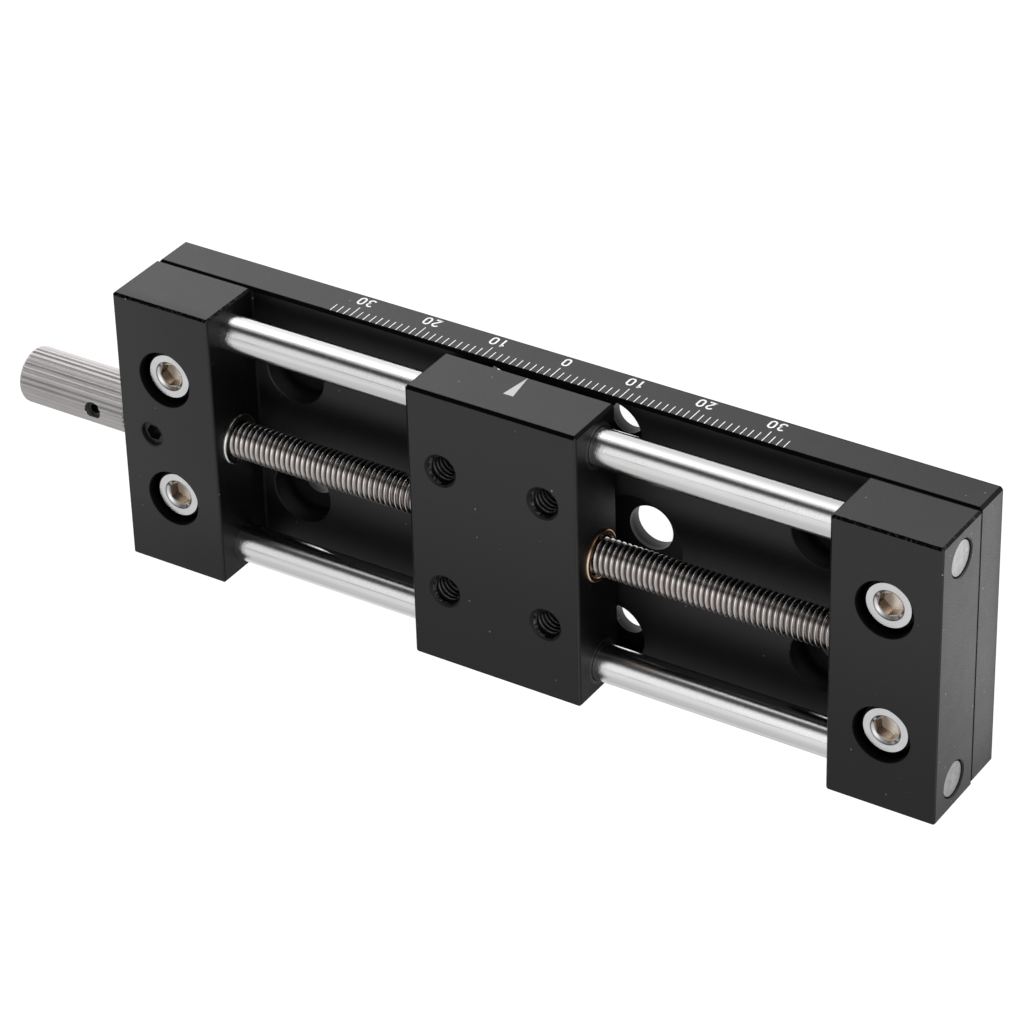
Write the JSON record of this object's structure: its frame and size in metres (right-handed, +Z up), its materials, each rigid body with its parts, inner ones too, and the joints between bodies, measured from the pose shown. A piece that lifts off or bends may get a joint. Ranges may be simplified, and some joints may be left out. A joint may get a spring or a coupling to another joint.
{
  "type": "manual sliding table",
  "caption": "Hand-driven linear slide: a threaded-hole table on two guide rods over a counterbored base plate, moved by a feed screw with a knurled knob.",
  "frame": {"origin": "centre of the base plate's underside", "axes": "+X along the travel towards the knob, +Z up out of the table, -Y towards the engraved scale"},
  "size_m": [0.1382, 0.04, 0.0164],
  "materials": {
    "black_anodised": "black anodised, satin",
    "rod_chrome": "ground and polished",
    "stainless": "turned stainless steel",
    "screw_head": "bright stainless steel",
    "knob_steel": "straight knurled, satin",
    "bronze": "turned bronze",
    "black_oxide": "black oxide",
    "black_polymer": "matt",
    "pad_brass": "plain",
    "scale_white": "filled engraving, matt"
  },
  "bodies": {
    "base": {"base_plate": "black_anodised", "drive_end_block": "black_anodised", "far_end_block": "black_anodised", "guide_rod_front": "rod_chrome", "guide_rod_rear": "rod_chrome", "end_screw_drive_front": "screw_head", "end_screw_drive_rear": "screw_head", "end_screw_far_front": "screw_head", "end_screw_far_rear": "screw_head", "spindle_bush": "stainless", "far_bush": "stainless", "lock_screw": "black_oxide", "lock_pad": "pad_brass"},
    "spindle": {"lead_screw": "stainless", "thrust_washer": "rod_chrome", "outer_washer": "stainless", "knob": "knob_steel", "knob_set_screw": "black_oxide"},
    "carriage": {"carriage_block": "black_anodised", "lead_nut": "bronze", "rod_bush_front_drive": "black_polymer", "rod_bush_front_far": "black_polymer", "rod_bush_rear_drive": "black_polymer", "rod_bush_rear_far": "black_polymer"}
  },
  "joints": [
    {"name": "screw_turn", "type": "hinge", "parent": "base", "child": "spindle", "pos_m": [0, 0, 0.011], "axis": [1, 0, 0], "range_deg": [-13411, 15391]},
    {"name": "carriage_slide", "type": "slide", "parent": "base", "child": "carriage", "axis": [1, 0, 0], "range_m": [-0.0342, 0.0298]}
  ],
  "couplings": [
    {"joint": "screw_turn", "follows": "carriage_slide", "rad_per_m": -7854}
  ]
}
